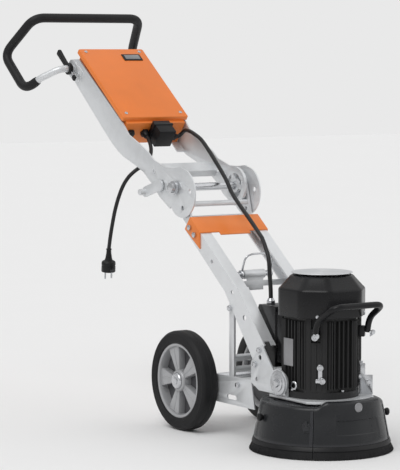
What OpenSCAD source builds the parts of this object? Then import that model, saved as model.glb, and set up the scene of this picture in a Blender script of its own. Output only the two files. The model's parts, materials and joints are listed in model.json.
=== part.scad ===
// Walk-behind concrete grinder with a folding frame.
// Front (grinding head) looks along -Y, the operator stands at +Y, the floor is z = 0.

/* [Overall] */
// Length from the front of the brush skirt to the back of the handlebar
overall_length = 1380; // [1374:1:1386]
// Slope of the frame above the floor, in degrees
frame_slope = 37.4; // [37:0.1:38]

/* [Grinding head] */
// Diameter of the grinding disc
disc_d = 280; // [270:1:284]
// Diameter over the brush skirt at the floor
skirt_d = 346; // [342:1:350]
// Height of the shroud's flat top
shroud_top = 120; // [118:1:121]
// Width of the fan cover across its flats
cover_w = 194; // [188:1:198]
// Width of the finned motor frame across its flats
motor_w = 176; // [172:1:178]
// Number of cooling fins on each side of the motor
fins_per_side = 7; // [5:1:8]
// Diameter of the lifting handle tube
lift_d = 15; // [13:1:16]

/* [Wheels] */
// Wheel diameter
wheel_d = 250; // [246:1:252]
// Tyre width
tyre_w = 46; // [42:1:46]
// Distance from the head axis back to the axle
axle_back = 406; // [402:1:412]
// Number of spokes
spoke_count = 5; // [5:1:6]

/* [Frame] */
// Width over the outside of the legs and arms
frame_w = 200; // [200:1:202]
// Thickness of the folded sheet
sheet = 4; // [3:0.5:4]
// Diameter of the fold hinge shaft
hinge_d = 20; // [18:1:22]

/* [Handlebar] */
// Diameter of the bare handle tube
tube_d = 19; // [17:1:20]
// Diameter over the soft grip
grip_d = 25; // [23:1:26]
// Length of the top bar between its corners
bar_w = 336; // [330:2:340]
// Width between the two rear corners
bar_rear_w = 408; // [400:2:412]

/* [Control box] */
// Lid width
lid_w = 203; // [201:1:206]
// Lid length along the slope
lid_l = 296; // [292:1:298]

/* [Cables] */
// Diameter of the supply cord
cord_d = 10; // [9:0.5:11]
// Diameter of the motor cable
cable_d = 10.5; // [9:0.5:11]

/* [Hidden] */

$fn = 48;
// Small step that lets a cut pass right through
eps = 0.5;
// Radial play of a turning fit
fit = 0.05;
head_y = -overall_length / 2 + skirt_d / 2;
half = frame_w / 2;
inside = half - sheet;
// Points on the slope: first number along it, second square to it
hinge_at = [753, 183];
handle_at = [1348, 101];
lever_at = [812, 140];
end_disc_at = [726, 187];
end_disc_r = 62;
// Points in the side view: first number behind the head axis, second above the floor
pivot_at = [30, 162];
pin_at = [270, 397];
pivot_bore = 8;
handle_bore = 6;
lever_bore = 5;
lid_top = 163;
lid_depth = 12;
lid_low = 1060;
box_low = 1050;
box_high = 1350;
box_floor = 84;
box_half = 90;
wheel_out = 152;
// Buttons on the operator's end of the box: across, square to the slope, stem radius
stop_at = [18, 126, 9];
start_at = [-30, 118, 10];
off_at = [-66, 118, 10];
panel = box_high;

zinc = [0.80, 0.81, 0.83];
steel = [0.60, 0.61, 0.63];
orange = [0.93, 0.40, 0.10];
black = [0.10, 0.10, 0.11];
plastic_grey = [0.24, 0.25, 0.26];
rubber_black = [0.07, 0.07, 0.07];

// ---------- helpers ----------
module at_head() {
    translate([0, head_y, 0]) children();
}
module on_slope() {
    at_head() rotate([frame_slope, 0, 0]) children();
}
// A plate standing in the side view, from x0 to x0 + thick
module upright(x0, thick) {
    translate([x0, 0, 0]) rotate([90, 0, 90]) linear_extrude(thick) children();
}
module both_sides() {
    children();
    mirror([1, 0, 0]) children();
}
// A round bar along X, centred on a side-view point
module cross_bar(at, r, x0, x1) {
    translate([x0, at[0], at[1]]) rotate([0, 90, 0]) cylinder(h = x1 - x0, r = r);
}
module six_sided(across, h) {
    cylinder(h = h, d = across / cos(30), $fn = 6);
}
// Points that round a corner at b, between a and c
function corner(a, b, c, r, n = 4) =
    let (u = (a - b) / norm(a - b), v = (c - b) / norm(c - b))
    [for (i = [0 : n]) b + r * (u * pow(1 - i / n, 2) + v * pow(i / n, 2))];
// A smooth curve through the points, n steps a span
function curve_at(p, i, t) =
    let (a = p[max(i - 1, 0)], b = p[i], c = p[i + 1], d = p[min(i + 2, len(p) - 1)])
    0.5 * (2 * b + (c - a) * t + (2 * a - 5 * b + 4 * c - d) * t * t + (3 * b - a - 3 * c + d) * t * t * t);
function smooth(p, n) = concat([for (i = [0 : len(p) - 2], k = [0 : n - 1]) curve_at(p, i, k / n)],
    [p[len(p) - 1]]);
function heading(c, i) = let (a = c[max(i - 1, 0)], b = c[min(i + 1, len(c) - 1)]) (b - a) / norm(b - a);
// The side direction carried from ring to ring, so the skin never twists
function carried(pts, g, i = 0, acc = []) = i == len(pts) ? acc :
    let (t = heading(pts, i), last = i == 0 ? g : acc[i - 1], w = last - (last * t) * t)
    carried(pts, g, i + 1, concat(acc, [w / norm(w)]));
// One tube as a single closed skin of rings; g is a direction not along the first span
module swept(pts, d, sides, g) {
    across = carried(pts, g);
    rings = [for (i = [0 : len(pts) - 1])
        let (u = across[i], v = cross(heading(pts, i), u))
        [for (k = [0 : sides - 1]) pts[i] + d / 2 * (u * cos(360 * k / sides) + v * sin(360 * k / sides))]];
    flat = [for (ring = rings, p = ring) p];
    last = (len(pts) - 1) * sides;
    walls = [for (i = [0 : len(pts) - 2], k = [0 : sides - 1])
        [i * sides + k, (i + 1) * sides + k, (i + 1) * sides + (k + 1) % sides, i * sides + (k + 1) % sides]];
    ends = [[for (k = [0 : sides - 1]) k], [for (k = [sides - 1 : -1 : 0]) last + k]];
    polyhedron(points = flat, faces = concat(walls, ends), convexity = 8);
}

// ---------- chassis ----------
leg_low = [[211, 373], [95, 244], [140, 200], [264, 355]];
leg_end = 655;
leg_front = 165;
leg_back = 125;
module leg_web() {
    at_head() upright(inside, sheet) polygon(leg_low);
    on_slope() upright(inside, sheet)
        polygon([[392, leg_front], [leg_end, leg_front], [leg_end, leg_back], [423, 123]]);
}
module leg_flanges() {
    on_slope() translate([68, 396, leg_front - sheet]) cube([half - 68, leg_end - 396, sheet]);
    on_slope() translate([76, 430, leg_back]) cube([half - 76, leg_end - 430, sheet]);
    at_head() translate([68, 100, 244]) rotate([48, 0, 0]) translate([0, 8, 0]) cube([half - 68, 162, sheet]);
    at_head() translate([68, 95, 241]) rotate([48, 0, 0]) cube([12, 14, sheet]);
}
module lower_legs() {
    color(zinc) both_sides() difference() {
        union() {
            leg_web();
            leg_flanges();
        }
        for (s = [404, 517]) {
            on_slope() upright(inside - eps, sheet + 1) translate([s, 143]) circle(d = 11);
        }
        at_head() upright(inside - eps, sheet + 1) translate([180, 302]) circle(d = 14);
    }
}
plate_low_pts = [[130, 84], [300, 84], [axle_back, 98], [axle_back, 152], [300, 152], [146, 156]];
plate_front_pts = [[4, 134], [112, 134], [146, 150], [146, 200], [100, 246], [52, 190], [30, 194]];
module side_plates() {
    color(zinc) both_sides() at_head() difference() {
        union() {
            upright(half, sheet) polygon(plate_low_pts);
            upright(half, sheet) polygon(plate_front_pts);
            upright(half, sheet) translate(pivot_at) circle(r = 32);
            upright(half, sheet) translate([axle_back, 125]) circle(r = 27);
        }
        upright(half - eps, sheet + 1) translate(pivot_at) circle(r = pivot_bore + fit);
        upright(half - eps, sheet + 1) translate([axle_back, 125]) circle(r = 10);
        upright(half - eps, sheet + 1) translate([214, 96]) square([30, 12]);
        upright(half - eps, sheet + 1) translate([214, 102]) circle(r = 6);
        upright(half - eps, sheet + 1) translate([244, 102]) circle(r = 6);
        upright(half - eps, sheet + 1) translate([108, 214]) circle(d = 12);
        upright(half - eps, sheet + 1) translate([122, 160]) circle(d = 10);
    }
}
strut_y = 242;
module cross_members() {
    color(zinc) at_head() {
        both_sides() {
            translate([inside - 6, strut_y - 10, 132]) cube([6, 20, 210]);
            translate([inside, strut_y - 10, 132]) cube([sheet, 20, 18]);
        }
        cross_bar([strut_y, 196], 9, 6 - inside, inside - 6);
        cross_bar([strut_y, 168], 8, 6 - inside, inside - 6);
        cross_bar([330, 118], 12, -half, half);
    }
}
cover_low = 598;
cover_high = 657;
module leg_cover() {
    color(orange) on_slope() {
        translate([-half - 3, cover_low, leg_front]) cube([2 * half + 6, cover_high - cover_low, 3]);
        translate([-45, cover_low - 10, leg_front]) cube([90, 10, 3]);
        both_sides() upright(half, 3)
            polygon([[cover_low, leg_front], [cover_high, leg_front], [cover_high, 128],
                [cover_low - 24, 134]]);
    }
}
hinge_plate_pts = [[590, 134], [590, 156], [662, 159], [728, 208], [775, 208], [783, 160], [745, 149],
    [690, 134]];
module lower_hinge_plates() {
    color(zinc) on_slope() {
        both_sides() difference() {
            union() {
                upright(inside - 8, 6) polygon(hinge_plate_pts);
                upright(inside - 2, 2) polygon([[596, 136], [596, 154], [648, 156], [648, 136]]);
            }
            upright(inside - 9, 8) translate(hinge_at) circle(d = hinge_d);
            upright(inside - 9, 8) translate([690, 160]) circle(d = 9);
        }
        cross_bar([698, 174], 7, 8 - inside, inside - 8);
        cross_bar([672, 147], 8, 8 - inside, inside - 8);
    }
}
module hinge_shaft() {
    color(steel) on_slope() {
        cross_bar(hinge_at, hinge_d / 2, -half - 5, half + 5);
        both_sides() cross_bar(hinge_at, 17, half + 5, half + 12);
        both_sides() translate([half + 12, hinge_at[0], hinge_at[1]]) rotate([0, 90, 0]) six_sided(24, 8);
    }
}
hub_face = wheel_out - 3;
module axle() {
    color(steel) at_head() {
        cross_bar([axle_back, 125], 10, -hub_face - 1, hub_face + 1);
        both_sides() {
            translate([hub_face + 1, axle_back, 125]) rotate([0, 90, 0]) cylinder(h = 5, r1 = 21, r2 = 18);
            translate([hub_face + 6, axle_back, 125]) rotate([0, 90, 0]) cylinder(h = 2, r = 9);
            difference() {
                cross_bar([axle_back, 125], 13, half + 4, half + 6);
                cross_bar([axle_back, 125], 10, half + 3, half + 7);
            }
        }
    }
}
module pin_bracket() {
    color(plastic_grey) at_head() {
        difference() {
            union() {
                cross_bar(pin_at, 11, -44, 18);
                translate([-36, 262, 358]) cube([48, sheet, 36]);
                translate([-inside, 262, 367]) cube([2 * inside, sheet, 14]);
            }
            cross_bar(pin_at, 7 + fit, -60, 60);
        }
    }
}
module leg_bolt(s, n) {
    on_slope() translate([half + 3, s, n]) rotate([0, 90, 0]) six_sided(13, 6);
}
module chassis_bolts() {
    color(steel) both_sides() {
        leg_bolt(612, 148);
        leg_bolt(640, 148);
        at_head() translate([half + 4, 108, 232]) rotate([0, 90, 0]) six_sided(13, 6);
        at_head() translate([half + 4, 126, 196]) rotate([0, 90, 0]) six_sided(13, 6);
        at_head() translate([half, strut_y, 320]) rotate([0, 90, 0]) six_sided(13, 6);
        at_head() translate([half + 4, 200, 136]) rotate([0, 90, 0]) six_sided(13, 6);
    }
}

// ---------- wheels ----------
rim_r = 93;
rim_edge = 8;
// One wheel on the +X side
module tyre_shape() {
    at_head() translate([wheel_out - tyre_w, axle_back, 125]) rotate([0, 90, 0]) rotate_extrude($fn = 96)
        polygon([[rim_r, 3], [rim_r + 4, 1], [wheel_d / 2 - 10, 0], [wheel_d / 2 - 3, 3], [wheel_d / 2, 9],
            [wheel_d / 2, tyre_w - 9], [wheel_d / 2 - 3, tyre_w - 3], [wheel_d / 2 - 10, tyre_w],
            [rim_r + 4, tyre_w - 1], [rim_r, tyre_w - 3]]);
}
module rim_shape() {
    at_head() translate([wheel_out - tyre_w, axle_back, 125]) rotate([0, 90, 0]) difference() {
        union() {
            difference() {
                translate([0, 0, 3]) cylinder(h = tyre_w - 6, r = rim_r, $fn = 96);
                translate([0, 0, -eps]) cylinder(h = tyre_w + 1, r = rim_r - rim_edge, $fn = 96);
            }
            translate([0, 0, 14]) cylinder(h = 6, r = rim_r - rim_edge + 1, $fn = 96);
            translate([0, 0, 3]) cylinder(h = tyre_w - 6, r = 28);
            for (i = [0 : spoke_count - 1]) {
                rotate([0, 0, 360 * i / spoke_count + 90]) translate([0, 0, 18]) linear_extrude(20)
                    polygon([[20, -9], [rim_r - rim_edge + 1, -26], [rim_r - rim_edge + 1, 26], [20, 9]]);
            }
        }
        translate([0, 0, -eps]) cylinder(h = tyre_w + 1, r = 10 + fit);
    }
}
module tyre_right() {
    color(rubber_black) tyre_shape();
}
module rim_right() {
    color(steel) rim_shape();
}
module tyre_left() {
    color(rubber_black) mirror([1, 0, 0]) tyre_shape();
}
module rim_left() {
    color(steel) mirror([1, 0, 0]) rim_shape();
}

// ---------- folding upper frame ----------
arm_pts = [[745, 120], [800, 112], [850, 115], [900, 112], [950, 97], [1000, 80], [1030, 74], [1070, 71],
    [1130, 72], [1300, 78], [1348, 80], [1368, 90], [1374, 112], [1340, 140], [1058, 147], [1015, 142],
    [955, 158], [912, 167], [880, 168], [825, 189], [795, 212], [770, 236], [726, 248]];
module upper_arms() {
    color(zinc) on_slope() {
        both_sides() difference() {
            union() {
                upright(inside, sheet) polygon(arm_pts);
                upright(inside, sheet) translate(end_disc_at) circle(r = end_disc_r);
                translate([72, 1012, 80]) cube([half - 72, 318, sheet]);
                upright(half, 3) translate(handle_at) circle(r = 24);
                upright(half, 3) polygon([[1300, 92], [1340, 78], [1348, 124], [1300, 128]]);
            }
            upright(inside - eps, sheet + 5) translate(hinge_at) circle(r = hinge_d / 2 + fit);
            upright(inside - eps, sheet + 5) translate(handle_at) circle(r = handle_bore + fit);
            upright(inside - eps, sheet + 1) translate(lever_at) circle(r = lever_bore + fit);
            upright(inside - eps, sheet + 1) translate([700, 215]) circle(d = 12);
            upright(inside - eps, sheet + 1) translate([700, 160]) circle(d = 12);
            upright(inside - eps, sheet + 1) translate([860, 146]) circle(d = 12);
        }
        translate([-inside, 862, 138]) cube([2 * inside, 34, sheet]);
        translate([-inside, 862, 122]) cube([2 * inside, sheet, 16]);
    }
}
disc_x = 76;
module hinge_disc() {
    color(steel) on_slope() translate([disc_x, hinge_at[0], hinge_at[1]]) rotate([0, 90, 0]) difference() {
        union() {
            difference() {
                cylinder(h = 8, r = 48);
                translate([0, 0, -eps]) cylinder(h = 9, r = 32);
            }
            cylinder(h = 8, r = 18);
            for (i = [0 : 2]) {
                rotate([0, 0, 120 * i]) translate([14, -6, 1]) cube([22, 12, 6]);
            }
        }
        translate([0, 0, -eps]) cylinder(h = 9, r = hinge_d / 2 + fit);
    }
}
module control_box() {
    color(orange) on_slope() difference() {
        translate([-box_half, box_low, box_floor])
            cube([2 * box_half, box_high - box_low, lid_top - lid_depth - box_floor]);
        translate([3 - box_half, box_low + 3, box_floor + 3])
            cube([2 * box_half - 6, box_high - box_low - 6, lid_top]);
        for (b = [stop_at, start_at, off_at]) {
            translate([b[0], panel - 5, b[1]]) rotate([-90, 0, 0]) cylinder(h = 8, r = b[2] + fit);
        }
    }
}
module box_lid() {
    color(orange) on_slope() difference() {
        translate([-lid_w / 2, lid_low, lid_top - lid_depth]) cube([lid_w, lid_l, lid_depth]);
        translate([8 - box_half, lid_low + 8, lid_top - lid_depth - 1])
            cube([2 * box_half - 16, lid_l - 24, lid_depth - 2]);
    }
}
module lid_screws() {
    color(steel) on_slope() both_sides() {
        for (s = [1078, 1342]) {
            translate([84, s, lid_top]) cylinder(h = 2, d = 9);
        }
    }
}
module display() {
    color(black) on_slope() {
        translate([20, 1303, lid_top]) cube([58, 27, 2]);
        translate([26, 1308, lid_top + 2]) cube([46, 17, 0.8]);
    }
}
module motor_connector() {
    color(black) on_slope() {
        translate([-14, 1004, 108]) cube([50, 46, 50]);
        translate([-18, 1032, 104]) cube([58, 6, 56]);
        translate([36, 1021, 128]) rotate([0, 90, 0]) cylinder(h = 6, d = 22);
        translate([42, 1021, 128]) rotate([0, 90, 0]) six_sided(20, 7);
        translate([49, 1021, 128]) rotate([0, 90, 0]) cylinder(h = 7, d1 = 18, d2 = 14);
    }
}
module box_glands() {
    color(black) on_slope() {
        translate([-70, 1050, 119]) rotate([90, 0, 0]) six_sided(22, 6);
        translate([-70, 1044, 119]) rotate([90, 0, 0]) cylinder(h = 4, d = 17);
        translate([-27, 1050, 120]) rotate([90, 0, 0]) six_sided(22, 7);
        translate([-27, 1043, 120]) rotate([90, 0, 0]) cylinder(h = 11, d1 = 19, d2 = 15);
    }
}
module circuit_board() {
    color([0.1, 0.35, 0.2]) on_slope() {
        translate([-75, 1075, 92]) cube([90, 180, 2]);
        for (s = [1090, 1130, 1170, 1210]) {
            translate([-65, s, 94]) cube([24, 24, 14]);
        }
        translate([-20, 1110, 94]) cylinder(h = 26, d = 24);
        translate([-20, 1150, 94]) cylinder(h = 26, d = 24);
        for (x = [-70, 10]) {
            for (s = [1080, 1248]) {
                translate([x, s, box_floor + 3]) cylinder(h = 5, d = 6);
            }
        }
    }
}
module contactor() {
    color([0.75, 0.75, 0.72]) on_slope() {
        translate([30, 1090, box_floor + 3]) cube([45, 70, 45]);
        translate([34, 1180, box_floor + 3]) cube([40, 90, 22]);
        for (s = [1186 : 14 : 1256]) {
            translate([44, s, box_floor + 25]) cube([20, 9, 8]);
        }
    }
}
module collar(b) {
    translate([b[0], panel, b[1]]) rotate([-90, 0, 0]) difference() {
        cylinder(h = 5, r = b[2] + 5);
        translate([0, 0, -eps]) cylinder(h = 6, r = b[2] + fit);
    }
}
module button_collars() {
    color(black) on_slope() {
        collar(stop_at);
        collar(start_at);
        collar(off_at);
    }
}
module stop_mushroom() {
    color([0.8, 0.05, 0.05]) on_slope() translate([stop_at[0], panel, stop_at[1]]) rotate([-90, 0, 0]) {
        translate([0, 0, -2]) cylinder(h = 18, r = stop_at[2]);
        translate([0, 0, 10]) cylinder(h = 10, r1 = 19, r2 = 20);
        translate([0, 0, 20]) cylinder(h = 4, r1 = 20, r2 = 15);
    }
}
module push_button(b) {
    on_slope() translate([b[0], panel - 2, b[1]]) rotate([-90, 0, 0]) cylinder(h = 11, r = b[2]);
}
module start_button() {
    color([0.1, 0.55, 0.2]) push_button(start_at);
}
module off_button() {
    color([0.8, 0.05, 0.05]) push_button(off_at);
}
module lock_lever() {
    color(zinc) on_slope() {
        upright(-half - 8, 6) union() {
            translate(lever_at) circle(r = 15);
            polygon([[797, 138], [826, 144], [864, 92], [842, 78]]);
            translate([853, 84]) circle(r = 13);
        }
        cross_bar(lever_at, lever_bore, 2 - half - 8, 4 - inside);
        cross_bar([853, 84], 8, -half - 24, -half - 8);
    }
}

// ---------- handlebar ----------
bar_rear_y = overall_length / 2 - grip_d / 2 - head_y;
top_y = bar_rear_y - 92;
tube_out = 103.4;
axis_y = handle_at[0] * cos(frame_slope) - handle_at[1] * sin(frame_slope);
axis_z = handle_at[0] * sin(frame_slope) + handle_at[1] * cos(frame_slope);
h0 = [tube_out + 0.3, axis_y, axis_z];
h1 = [140, axis_y, axis_z];
h2 = [178, axis_y + 38, 874];
h3 = [bar_rear_w / 2, bar_rear_y - 105, 841];
// The rounding cuts the rear corner short by this much
corner_cut = 13;
h4 = [bar_rear_w / 2, bar_rear_y + corner_cut, 937];
h5 = [bar_w / 2, top_y, 1037];
grip_from = h2 + 0.2 * (h3 - h2);
function flip(p) = [-p[0], p[1], p[2]];
function flipped(c) = [for (i = [len(c) - 1 : -1 : 0]) flip(c[i])];
tube_sides = 12;
bare_half = concat([h0], corner(h0, h1, h2, 20), corner(h1, h2, h3, 10), [grip_from]);
grip_half = concat([grip_from], corner(h2, h3, h4, 34), corner(h3, h4, h5, 36), corner(h4, h5, flip(h5), 34));
module handle_tube() {
    color(zinc) at_head() both_sides() {
        swept(bare_half, tube_d, tube_sides, [0, 0, 1]);
        cross_bar([axis_y, axis_z], handle_bore, inside - 4, tube_out + 1);
        cross_bar([axis_y, axis_z], 15, tube_out, tube_out + 3);
    }
}
module handle_grip() {
    color(rubber_black) at_head() swept(concat(grip_half, flipped(grip_half)), grip_d, tube_sides, [0, 0, 1]);
}
module clamp_lever() {
    color(black) at_head() translate([-118, axis_y, axis_z]) {
        rotate([0, 90, 0]) difference() {
            cylinder(h = 10, r = 16);
            translate([0, 0, -eps]) cylinder(h = 11, r = tube_d / 2 + fit);
        }
        rotate([40, 0, 0]) translate([1, 13, -6]) cube([8, 52, 12]);
        rotate([40, 0, 0]) translate([5, 65, 0]) sphere(r = 8);
        rotate([40, 0, 0]) translate([2, -40, -4]) cube([6, 28, 8]);
    }
}

// ---------- locking pin with its wire bail ----------
module lock_pin() {
    color(steel) at_head() {
        cross_bar(pin_at, 7, -66, 42);
        cross_bar(pin_at, 9, -78, -66);
        cross_bar(pin_at, 4, -82, -78);
    }
}
bail_r = 2.5;
module pin_bail() {
    color(steel) at_head() {
        difference() {
            union() {
                cross_bar(pin_at, 11, -52, -46.4);
                cross_bar(pin_at, 11, 33, 38.6);
            }
            cross_bar(pin_at, 7 + fit, -65, 40);
        }
        swept([[-49, pin_at[0] - 4, pin_at[1] + 8], [-49, pin_at[0] - 13, 430], [-46, pin_at[0] - 15, 438],
            [-38, pin_at[0] - 16, 442], [25, pin_at[0] - 16, 442], [33, pin_at[0] - 15, 438],
            [36, pin_at[0] - 13, 430], [36, pin_at[0] - 4, pin_at[1] + 8]], 2 * bail_r, 8, [1, 0, 0]);
    }
}

// ---------- grinding head ----------
plate_z = 124;
flange_z = 130;
frame_z = 146;
cover_z = 322;
shoulder_z = 388;
cap_z = 418;
lug_x = 91;
module head_plate() {
    color(zinc) at_head() {
        difference() {
            intersection() {
                translate([0, 0, plate_z]) cylinder(h = 6, r = 124);
                translate([-98, -130, plate_z]) cube([196, 260, 6]);
            }
            translate([0, 0, plate_z - eps]) cylinder(h = 8, r = 24);
        }
        difference() {
            translate([0, 0, 66]) cylinder(h = plate_z - 66, r = 60);
            translate([0, 0, 65]) cylinder(h = plate_z - 65 + eps, r = 24);
        }
        both_sides() difference() {
            union() {
                upright(lug_x, 6) translate(pivot_at) circle(r = 24);
                upright(lug_x, 6) polygon([[6, 130], [54, 130], [54, 162], [6, 162]]);
            }
            upright(lug_x - eps, 7) translate(pivot_at) circle(r = pivot_bore);
        }
    }
}
module pivot_pins() {
    color(steel) at_head() both_sides() {
        cross_bar(pivot_at, pivot_bore, lug_x, half + sheet + 0.6);
        cross_bar(pivot_at, 30, half + sheet + 0.5, half + sheet + 3);
        cross_bar(pivot_at, 20, half + sheet + 3, half + sheet + 5);
        translate([half + sheet + 5, pivot_at[0], pivot_at[1]]) rotate([0, 90, 0]) six_sided(18, 5);
    }
}
// Eight-sided outline, w across the flats and side_half half a main side
module eight_sided(w, side_half) {
    polygon([[w, -side_half], [w, side_half], [side_half, w], [-side_half, w], [-w, side_half],
        [-w, -side_half], [-side_half, -w], [side_half, -w]]);
}
core = motor_w / 2 - 9;
// Underside of the lifting handle's two feet, and the terminal box's sideways place
foot_z = 272;
box_x = -12;
neck_z = 200;
neck_h = 120;
module fin_row() {
    for (i = [0 : fins_per_side - 1]) {
        translate([core - 2, -39 + 78 * i / (fins_per_side - 1) - 1.25, frame_z + 8])
            cube([11, 2.5, cover_z - frame_z - 16]);
    }
}
module motor_frame() {
    color(black) at_head() difference() {
        union() {
            translate([0, 0, flange_z]) cylinder(h = frame_z - flange_z, r = 89);
            translate([0, 0, frame_z]) linear_extrude(cover_z - frame_z + 10) eight_sided(core, 44);
            for (a = [0 : 45 : 315]) {
                rotate([0, 0, a]) translate([a % 90 == 0 ? 0 : 1.4, 0, 0]) fin_row();
            }
        }
        translate([0, 0, frame_z]) cylinder(h = cover_z - frame_z - 10, r = 70);
        translate([0, 0, flange_z - eps]) cylinder(h = 40, r = 30);
        translate([0, 0, cover_z - 20]) cylinder(h = 50, r = 30);
        both_sides() upright(lug_x - 3.5, 20) translate(pivot_at) circle(r = 26);
        both_sides() rotate([0, 0, -45]) translate([core, -11, foot_z - 8]) cube([20, 22, 60]);
        translate([box_x - 47, core, neck_z - 4]) cube([94, 30, neck_h + 6]);
        translate([0, 0, cover_z - 1]) difference() {
            cylinder(h = 20, r = 120);
            linear_extrude(20) eight_sided(core - 2, 42);
        }
    }
}
module fan_cover() {
    color(black) at_head() {
        difference() {
            translate([0, 0, cover_z]) linear_extrude(shoulder_z - cover_z) eight_sided(cover_w / 2, 45);
            translate([0, 0, cover_z - eps]) linear_extrude(shoulder_z - cover_z + 1)
                eight_sided(cover_w / 2 - 3, 43.5);
        }
        difference() {
            hull() {
                translate([0, 0, shoulder_z]) linear_extrude(0.5) eight_sided(cover_w / 2, 45);
                translate([0, 0, cap_z]) linear_extrude(0.5) eight_sided(68, 34);
            }
            hull() {
                translate([0, 0, shoulder_z - 1]) linear_extrude(0.5) eight_sided(cover_w / 2 - 3, 43.5);
                translate([0, 0, cap_z - 3]) linear_extrude(0.5) eight_sided(65, 32);
            }
            for (a = [0 : 30 : 330]) {
                rotate([0, 0, a]) translate([28, -3, cap_z - 5]) cube([30, 6, 8]);
            }
        }
        translate([0, 0, cap_z]) cylinder(h = 4, r = 20);
        translate([0, 0, cap_z + 4]) cylinder(h = 3, r = 73);
    }
}
module terminal_box() {
    color(black) at_head() {
        translate([box_x - 46, core, neck_z]) cube([92, 25, neck_h]);
        translate([box_x - 50, core + 25, 188]) cube([100, 72, 146]);
        translate([box_x - 46, core + 97, 194]) cube([92, 8, 134]);
    }
}
gland_at = [-34, 163];
module motor_gland() {
    color(black) at_head() translate([gland_at[0], gland_at[1], 334]) {
        six_sided(20, 8);
        translate([0, 0, 8]) cylinder(h = 6, d1 = 18, d2 = 14);
    }
}
foot_w = 18;
lift_a = [76, -79, 284];
lift_b = [76, -86, 318];
lift_c = [70, -148, 356];
lift_half = concat([lift_a], corner(lift_a, lift_b, lift_c, 22), corner(lift_b, lift_c, flip(lift_c), 26));
module lifting_handle() {
    color(black) at_head() {
        swept(concat(lift_half, flipped(lift_half)), lift_d, tube_sides, [1, 0, 0]);
        both_sides() rotate([0, 0, -45]) translate([core, -foot_w / 2, foot_z]) cube([26, foot_w, 26]);
    }
}
module head_bolts() {
    color(steel) at_head() {
        for (a = [0 : 90 : 270]) {
            rotate([0, 0, a]) translate([core + 5, 0, frame_z]) six_sided(8, 5);
        }
        both_sides() translate([82, -92, 284]) rotate([90, 0, 0]) cylinder(h = 3, d = 12);
    }
}
module stator() {
    color([0.55, 0.35, 0.2]) at_head() difference() {
        union() {
            translate([0, 0, 180]) cylinder(h = 100, r = 70);
            translate([0, 0, 164]) cylinder(h = 132, r = 64);
        }
        translate([0, 0, 160]) cylinder(h = 150, r = 46.5);
    }
}
module bearing(z) {
    translate([0, 0, z]) difference() {
        cylinder(h = 16, r = 30);
        translate([0, 0, -eps]) cylinder(h = 17, r = 14 + fit);
    }
}
module motor_bearings() {
    color(steel) at_head() {
        bearing(131);
        bearing(cover_z - 12);
        difference() {
            translate([0, 0, 70]) cylinder(h = 16, r = 24);
            translate([0, 0, 69]) cylinder(h = 18, r = 14 + fit);
        }
    }
}
module rotor_shaft() {
    color(steel) at_head() {
        translate([0, 0, 24]) cylinder(h = 340, r = 14);
        translate([0, 0, 182]) cylinder(h = 96, r = 46);
        translate([0, 0, 24]) cylinder(h = 30, r = 40);
    }
}
module cooling_fan() {
    color(plastic_grey) at_head() {
        difference() {
            translate([0, 0, 344]) cylinder(h = 4, r = 78);
            translate([0, 0, 343]) cylinder(h = 6, r = 14);
        }
        for (a = [0 : 40 : 320]) {
            rotate([0, 0, a]) translate([24, -1.5, 347]) cube([52, 3, 25]);
        }
    }
}
module grinding_disc() {
    color(steel) at_head() difference() {
        translate([0, 0, 10]) cylinder(h = 14, d = disc_d, $fn = 96);
        translate([0, 0, 9]) cylinder(h = 4, r = 50);
        for (a = [0 : 60 : 300]) {
            rotate([0, 0, a]) translate([95, 0, 9]) cylinder(h = 20, d = 16);
        }
    }
}
module diamond_segments() {
    color([0.35, 0.35, 0.33]) at_head() for (a = [0 : 30 : 330]) {
        rotate([0, 0, a]) translate([112, -9, 0]) cube([22, 18, 10]);
    }
}

// ---------- shroud ----------
wall = 4;
low_r = 161;
top_r = 146;
band_top = 38;
open_angle = 43;
// The dust port: radius, length of its plain end, length of its thick root and where it starts
port_r = 25;
port_len = 36;
port_root = 20;
port_in = 148;
port_z = 78;
// A wedge reaching forward, half_angle either side of straight ahead
module front_wedge(half_angle, z0, z1) {
    reach = 260;
    translate([0, 0, z0]) linear_extrude(z1 - z0)
        polygon([[0, 0], [-reach * sin(half_angle), -reach * cos(half_angle)], [0, -reach],
            [reach * sin(half_angle), -reach * cos(half_angle)]]);
}
module shroud_shell(extra) {
    rotate_extrude($fn = 128) polygon([[low_r - wall, band_top - 8], [low_r, band_top - 8],
        [low_r, band_top], [top_r + extra / 4, shroud_top - 6 + extra], [top_r - 6, shroud_top + extra],
        [112, shroud_top + extra], [112, shroud_top - wall + extra], [top_r - 8, shroud_top - wall + extra],
        [low_r - wall, band_top]]);
}
module shroud() {
    color(plastic_grey) at_head() {
        difference() {
            shroud_shell(0);
            front_wedge(open_angle, 0, 200);
            rotate([0, 90, -24]) translate([-85, 0, 130]) cylinder(h = 40, r = 4 + fit);
            rotate([0, 90, 169]) translate([-85, 0, 130]) cylinder(h = 40, r = 4 + fit);
            rotate([-90, 0, 0]) translate([0, -port_z, 130]) cylinder(h = 60, r = port_r - 3);
        }
        difference() {
            translate([0, 0, shroud_top - wall]) cylinder(h = wall, r = 114);
            translate([0, 0, shroud_top - wall - eps]) cylinder(h = wall + 1, r = 60 + 1.6 * fit);
        }
        rotate([-90, 0, 0]) translate([0, -port_z, port_in]) difference() {
            union() {
                cylinder(h = port_root, r = port_r + 4);
                cylinder(h = port_root + port_len, r = port_r);
            }
            translate([0, 0, -eps]) cylinder(h = port_root + port_len + 1, r = port_r - 3);
        }
    }
}
skirt_pts = [[low_r - wall, band_top - 8.4], [low_r + 2, band_top - 8.4], [low_r + 5, 20], [low_r + 3, 20],
    [skirt_d / 2, 1], [skirt_d / 2 - 6, 1], [low_r - wall, 20]];
module brush_skirt() {
    color(rubber_black) at_head() difference() {
        rotate_extrude($fn = 128) polygon(skirt_pts);
        front_wedge(open_angle, -10, 60);
    }
}
cover_rise = 13;
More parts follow.
